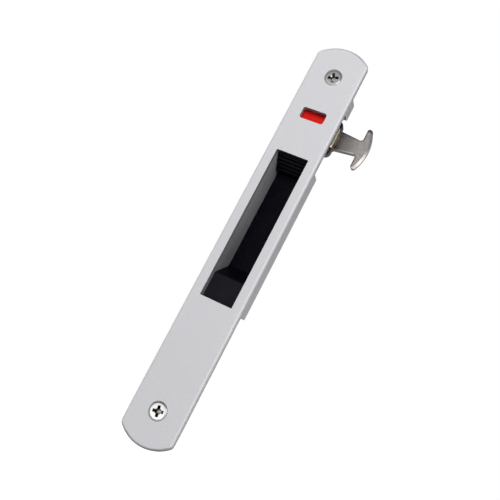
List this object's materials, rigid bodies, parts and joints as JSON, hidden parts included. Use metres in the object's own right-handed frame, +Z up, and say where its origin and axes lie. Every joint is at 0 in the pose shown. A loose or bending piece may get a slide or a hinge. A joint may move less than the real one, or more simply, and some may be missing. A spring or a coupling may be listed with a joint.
{
  "type": "sliding door latch",
  "caption": "Flush latch for a sliding door: long round-ended face plate, recessed finger slider, locked/unlocked window and a two-pronged hook that slides along the plate",
  "frame": {"origin": "midway between the two mounting screws, on the back of the plate's end tabs, which is the mounting plane", "axes": "+X across the plate towards the hook, +Y into the door, +Z up along the plate; the front face looks along -Y"},
  "size_m": [0.0405, 0.0179, 0.195],
  "materials": {
    "silver_coat": "satin silver-grey powder coat",
    "grey_nylon": "moulded, fine texture",
    "spring_steel": "bright strip",
    "screw_steel": "plain zinc",
    "black_nylon": "moulded, satin",
    "red_plastic": "moulded, satin",
    "green_plastic": "moulded, satin",
    "zinc_steel": "yellow zinc plating",
    "hook_steel": "tumbled stainless",
    "rivet_steel": "plain zinc"
  },
  "bodies": {
    "body": {"face_plate": "silver_coat", "guide_case": "grey_nylon", "detent_spring": "spring_steel", "upper_mounting_screw": "screw_steel", "lower_mounting_screw": "screw_steel"},
    "slider": {"finger_slider": "black_nylon", "red_indicator": "red_plastic", "green_indicator": "green_plastic", "hook_carrier": "zinc_steel", "hook": "hook_steel", "upper_hook_rivet": "rivet_steel", "lower_hook_rivet": "rivet_steel"}
  },
  "joints": [
    {"name": "slider_slide", "type": "slide", "parent": "body", "child": "slider", "axis": [0, 0, -1], "range_m": [0, 0.009], "deforming": ["detent_spring"]}
  ]
}
